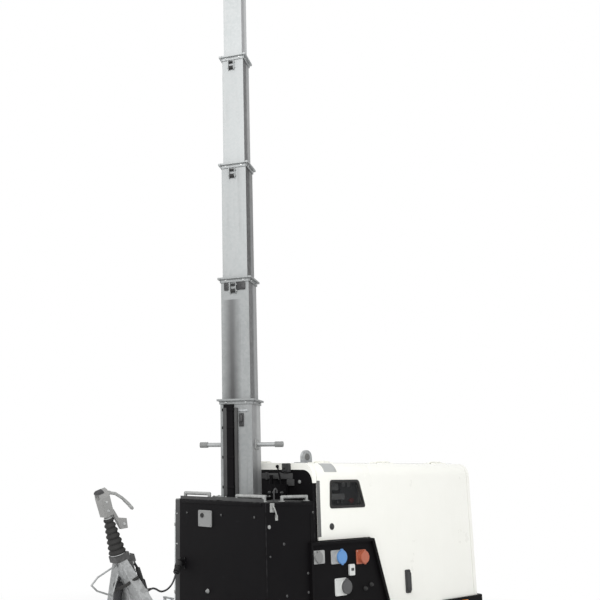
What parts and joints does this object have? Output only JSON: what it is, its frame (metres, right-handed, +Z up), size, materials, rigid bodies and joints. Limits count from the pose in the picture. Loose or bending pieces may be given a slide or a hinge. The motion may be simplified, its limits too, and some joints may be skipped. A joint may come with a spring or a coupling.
{
  "type": "mobile light tower",
  "caption": "Towed single-axle light tower: telescopic turning mast with tilting floodlights, generator canopy with gull-wing doors, outriggers and a folding drawbar.",
  "frame": {"origin": "on the ground, under the middle of the bounding box", "axes": "+X forwards to the towing end, +Y to the trailer's left, +Z up along the mast"},
  "size_m": [3.8192, 2.452, 8.6592],
  "materials": {
    "galvanised_steel": "hot-dip galvanised",
    "black_housing": "textured black powder coat",
    "white_canopy": "smooth white moulding",
    "black_plastic": "moulded black",
    "socket_plastic": "moulded, coloured by voltage",
    "control_grey": "powder coat",
    "engine": "painted",
    "window": "tinted",
    "rear_lens": "moulded lens",
    "rim_steel": "silver paint",
    "tyre_rubber": "worn tread",
    "bellows_rubber": "moulded",
    "lead_rubber": "flexible sheath",
    "coupling_cast": "black paint over zinc",
    "lever_black": "black paint",
    "lamp_body": "black powder coat"
  },
  "bodies": {
    "trailer": {"chassis_frame": "galvanised_steel", "axle": "galvanised_steel", "mudguards": "galvanised_steel", "mast_base": "galvanised_steel", "mast_housing": "black_housing", "base_tray": "black_housing", "front_wall": "black_housing", "canopy_shell": "white_canopy", "rear_grille": "black_plastic", "socket_panel": "black_housing", "sockets": "socket_plastic", "control_panel": "control_grey", "engine_block": "engine", "lifting_frame": "galvanised_steel", "rear_bumper": "black_housing", "rear_lamps": "rear_lens", "grab_rails": "galvanised_steel", "housing_fittings": "black_plastic", "jockey_tube": "galvanised_steel", "lead": "lead_rubber"},
    "wheel_left": {"tyre_left": "tyre_rubber", "rim_left": "rim_steel"},
    "wheel_right": {"tyre_right": "tyre_rubber", "rim_right": "rim_steel"},
    "door_left": {"door_left": "white_canopy", "window_pane": "window"},
    "door_right": {"door_right": "white_canopy"},
    "mast_1": {"mast_section_1": "galvanised_steel", "cable_duct": "black_plastic"},
    "mast_7": {"mast_section_7": "galvanised_steel", "lamp_head": "galvanised_steel"},
    "drawbar": {"drawbar_frame": "galvanised_steel", "overrun_housing": "coupling_cast", "bellows": "bellows_rubber", "coupling_head": "coupling_cast"},
    "coupling_handle": {"coupling_handle": "lever_black"},
    "brake_lever": {"brake_lever": "lever_black"},
    "jockey_leg": {"jockey_leg": "galvanised_steel"},
    "jockey_fork": {"jockey_fork": "galvanised_steel"},
    "jockey_wheel": {"jockey_wheel": "tyre_rubber"},
    "mast_2": {"mast_section_2": "galvanised_steel"},
    "mast_3": {"mast_section_3": "galvanised_steel"},
    "mast_4": {"mast_section_4": "galvanised_steel"},
    "mast_5": {"mast_section_5": "galvanised_steel"},
    "mast_6": {"mast_section_6": "galvanised_steel"},
    "lamp_1": {"floodlight_1": "lamp_body"},
    "lamp_2": {"floodlight_2": "lamp_body"},
    "lamp_3": {"floodlight_3": "lamp_body"},
    "lamp_4": {"floodlight_4": "lamp_body"},
    "outrigger_arm_fl": {"outrigger_arm_fl": "galvanised_steel"},
    "outrigger_leg_fl": {"outrigger_leg_fl": "galvanised_steel"},
    "outrigger_arm_fr": {"outrigger_arm_fr": "galvanised_steel"},
    "outrigger_leg_fr": {"outrigger_leg_fr": "galvanised_steel"},
    "outrigger_arm_rl": {"outrigger_arm_rl": "galvanised_steel"},
    "outrigger_leg_rl": {"outrigger_leg_rl": "galvanised_steel"},
    "outrigger_arm_rr": {"outrigger_arm_rr": "galvanised_steel"},
    "outrigger_leg_rr": {"outrigger_leg_rr": "galvanised_steel"}
  },
  "joints": [
    {"name": "wheel_left_spin", "type": "hinge", "parent": "trailer", "child": "wheel_left", "pos_m": [-0.5636, 0.62, 0.293], "axis": [0, 1, 0], "continuous": true},
    {"name": "door_left_open", "type": "hinge", "parent": "trailer", "child": "door_left", "pos_m": [-0.7836, 0.34, 1.797], "axis": [1, 0, 0], "range_deg": [0, 95]},
    {"name": "wheel_right_spin", "type": "hinge", "parent": "trailer", "child": "wheel_right", "pos_m": [-0.5636, -0.62, 0.293], "axis": [0, 1, 0], "continuous": true},
    {"name": "door_right_open", "type": "hinge", "parent": "trailer", "child": "door_right", "pos_m": [-0.7836, -0.34, 1.797], "axis": [-1, 0, 0], "range_deg": [0, 95]},
    {"name": "outrigger_fl_extend", "type": "slide", "parent": "trailer", "child": "outrigger_arm_fl", "axis": [0, 1, 0], "range_m": [-0.5, 0]},
    {"name": "jack_fl_lower", "type": "slide", "parent": "outrigger_arm_fl", "child": "outrigger_leg_fl", "axis": [0, 0, 1], "range_m": [-0.1, 0.185]},
    {"name": "outrigger_fr_extend", "type": "slide", "parent": "trailer", "child": "outrigger_arm_fr", "axis": [0, -1, 0], "range_m": [-0.5, 0]},
    {"name": "jack_fr_lower", "type": "slide", "parent": "outrigger_arm_fr", "child": "outrigger_leg_fr", "axis": [0, 0, 1], "range_m": [-0.1, 0.185]},
    {"name": "outrigger_rl_extend", "type": "slide", "parent": "trailer", "child": "outrigger_arm_rl", "axis": [0, 1, 0], "range_m": [-0.5, 0]},
    {"name": "jack_rl_lower", "type": "slide", "parent": "outrigger_arm_rl", "child": "outrigger_leg_rl", "axis": [0, 0, 1], "range_m": [-0.1, 0.185]},
    {"name": "outrigger_rr_extend", "type": "slide", "parent": "trailer", "child": "outrigger_arm_rr", "axis": [0, -1, 0], "range_m": [-0.5, 0]},
    {"name": "jack_rr_lower", "type": "slide", "parent": "outrigger_arm_rr", "child": "outrigger_leg_rr", "axis": [0, 0, 1], "range_m": [-0.1, 0.185]},
    {"name": "mast_turn", "type": "hinge", "parent": "trailer", "child": "mast_1", "pos_m": [0.5334, 0, 0.62], "axis": [0, 0, 1], "range_deg": [-202, 138]},
    {"name": "mast_lift", "type": "slide", "parent": "mast_1", "child": "mast_2", "axis": [0, 0, 1], "range_m": [-0.84, 0]},
    {"name": "mast_lift_3", "type": "slide", "parent": "mast_2", "child": "mast_3", "axis": [0, 0, 1], "range_m": [-0.84, 0]},
    {"name": "mast_lift_4", "type": "slide", "parent": "mast_3", "child": "mast_4", "axis": [0, 0, 1], "range_m": [-0.84, 0]},
    {"name": "mast_lift_5", "type": "slide", "parent": "mast_4", "child": "mast_5", "axis": [0, 0, 1], "range_m": [-0.84, 0]},
    {"name": "mast_lift_6", "type": "slide", "parent": "mast_5", "child": "mast_6", "axis": [0, 0, 1], "range_m": [-0.84, 0]},
    {"name": "mast_lift_7", "type": "slide", "parent": "mast_6", "child": "mast_7", "axis": [0, 0, 1], "range_m": [-0.84, 0]},
    {"name": "lamp_1_tilt", "type": "hinge", "parent": "mast_7", "child": "lamp_1", "pos_m": [0.78486, -0.39471, 8.54], "axis": [-0.5373, 0.8434, 0], "range_deg": [-50, 60]},
    {"name": "lamp_2_tilt", "type": "hinge", "parent": "mast_7", "child": "lamp_2", "pos_m": [0.61722, -0.13157, 8.54], "axis": [-0.5373, 0.8434, 0], "range_deg": [-50, 60]},
    {"name": "lamp_3_tilt", "type": "hinge", "parent": "mast_7", "child": "lamp_3", "pos_m": [0.44958, 0.13157, 8.54], "axis": [-0.5373, 0.8434, 0], "range_deg": [-50, 60]},
    {"name": "lamp_4_tilt", "type": "hinge", "parent": "mast_7", "child": "lamp_4", "pos_m": [0.28194, 0.39471, 8.54], "axis": [-0.5373, 0.8434, 0], "range_deg": [-50, 60]},
    {"name": "drawbar_fold", "type": "hinge", "parent": "trailer", "child": "drawbar", "pos_m": [1.4664, 0, 0.5], "axis": [0, -1, 0], "range_deg": [-71, 9], "deforming": ["lead"]},
    {"name": "coupling_release", "type": "hinge", "parent": "drawbar", "child": "coupling_handle", "pos_m": [1.78376, 0, 1.57526], "axis": [0, 1, 0], "range_deg": [0, 35]},
    {"name": "handbrake", "type": "hinge", "parent": "drawbar", "child": "brake_lever", "pos_m": [1.58683, 0, 1.13541], "axis": [0, 1, 0], "range_deg": [0, 70]},
    {"name": "jockey_lower", "type": "slide", "parent": "trailer", "child": "jockey_leg", "axis": [0, 0, 1], "range_m": [-0.15, 0.16]},
    {"name": "jockey_swivel", "type": "hinge", "parent": "jockey_leg", "child": "jockey_fork", "pos_m": [1.3184, 0.13, 0.225], "axis": [0, 0, 1], "continuous": true},
    {"name": "jockey_spin", "type": "hinge", "parent": "jockey_fork", "child": "jockey_wheel", "pos_m": [1.2734, 0.13, 0.103], "axis": [0, 1, 0], "continuous": true}
  ],
  "couplings": [
    {"joint": "mast_lift_3", "follows": "mast_lift", "ratio": 1},
    {"joint": "mast_lift_4", "follows": "mast_lift", "ratio": 1},
    {"joint": "mast_lift_5", "follows": "mast_lift", "ratio": 1},
    {"joint": "mast_lift_6", "follows": "mast_lift", "ratio": 1},
    {"joint": "mast_lift_7", "follows": "mast_lift", "ratio": 1}
  ]
}
